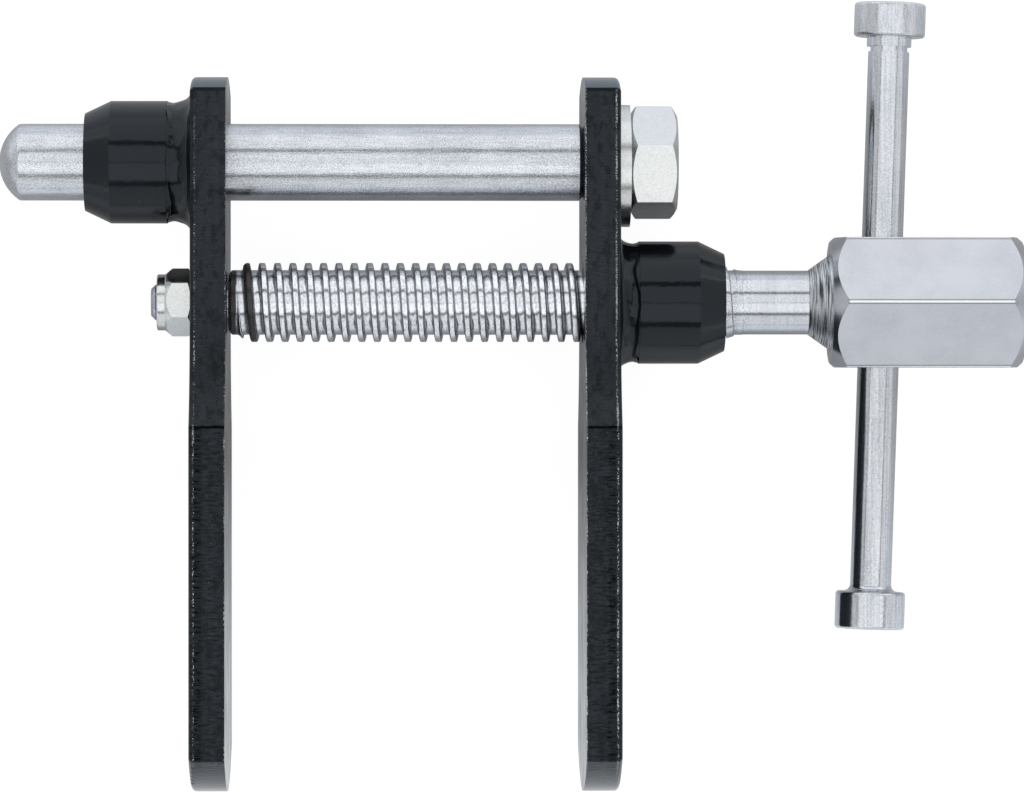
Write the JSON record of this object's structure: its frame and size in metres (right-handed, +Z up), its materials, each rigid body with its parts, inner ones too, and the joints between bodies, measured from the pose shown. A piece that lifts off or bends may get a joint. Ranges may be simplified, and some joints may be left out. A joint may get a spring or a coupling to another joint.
{
  "type": "brake piston rewind tool",
  "caption": "Screw-operated brake piston rewind tool: a spindle with a sliding tommy bar spreads two plate jaws along a guide rod.",
  "frame": {"origin": "middle of the underside of the whole tool, which lies on the long edges of its plates", "axes": "+X along the spindle from the moving jaw to the hexagon head, +Y along the plates towards the guide rod, +Z up, across the plates' width"},
  "size_m": [0.1732, 0.1337, 0.045],
  "materials": {
    "black_paint": "gloss black paint",
    "plated_steel": "zinc plated",
    "spindle_steel": "bright plated, turned",
    "bar_steel": "bright plated",
    "blue_nylon": "satin"
  },
  "bodies": {
    "fixed_jaw": {"fixed_plate": "black_paint", "spindle_bush": "black_paint", "spindle_bush_weld": "black_paint", "guide_rod": "plated_steel", "guide_rod_washer": "plated_steel", "guide_rod_nut": "plated_steel"},
    "moving_jaw": {"moving_plate": "black_paint", "guide_bush": "black_paint", "guide_bush_weld": "black_paint"},
    "spindle": {"spindle": "spindle_steel", "lock_nut": "plated_steel", "lock_nut_insert": "blue_nylon"},
    "tommy_bar": {"tommy_bar": "bar_steel", "tommy_bar_cap": "bar_steel"}
  },
  "joints": [
    {"name": "jaw_slide", "type": "slide", "parent": "fixed_jaw", "child": "moving_jaw", "axis": [-1, 0, 0], "range_m": [-0.0595, 0.0135]},
    {"name": "spindle_turn", "type": "hinge", "parent": "moving_jaw", "child": "spindle", "pos_m": [-0.04795, 0.01585, 0.0225], "axis": [-1, 0, 0], "range_deg": [-8239, 1870]},
    {"name": "tommy_slide", "type": "slide", "parent": "spindle", "child": "tommy_bar", "axis": [0.0342, 0.9994, 0], "range_m": [-0.0321, 0.0368]}
  ],
  "couplings": [
    {"joint": "spindle_turn", "follows": "jaw_slide", "rad_per_m": 2416.6}
  ]
}
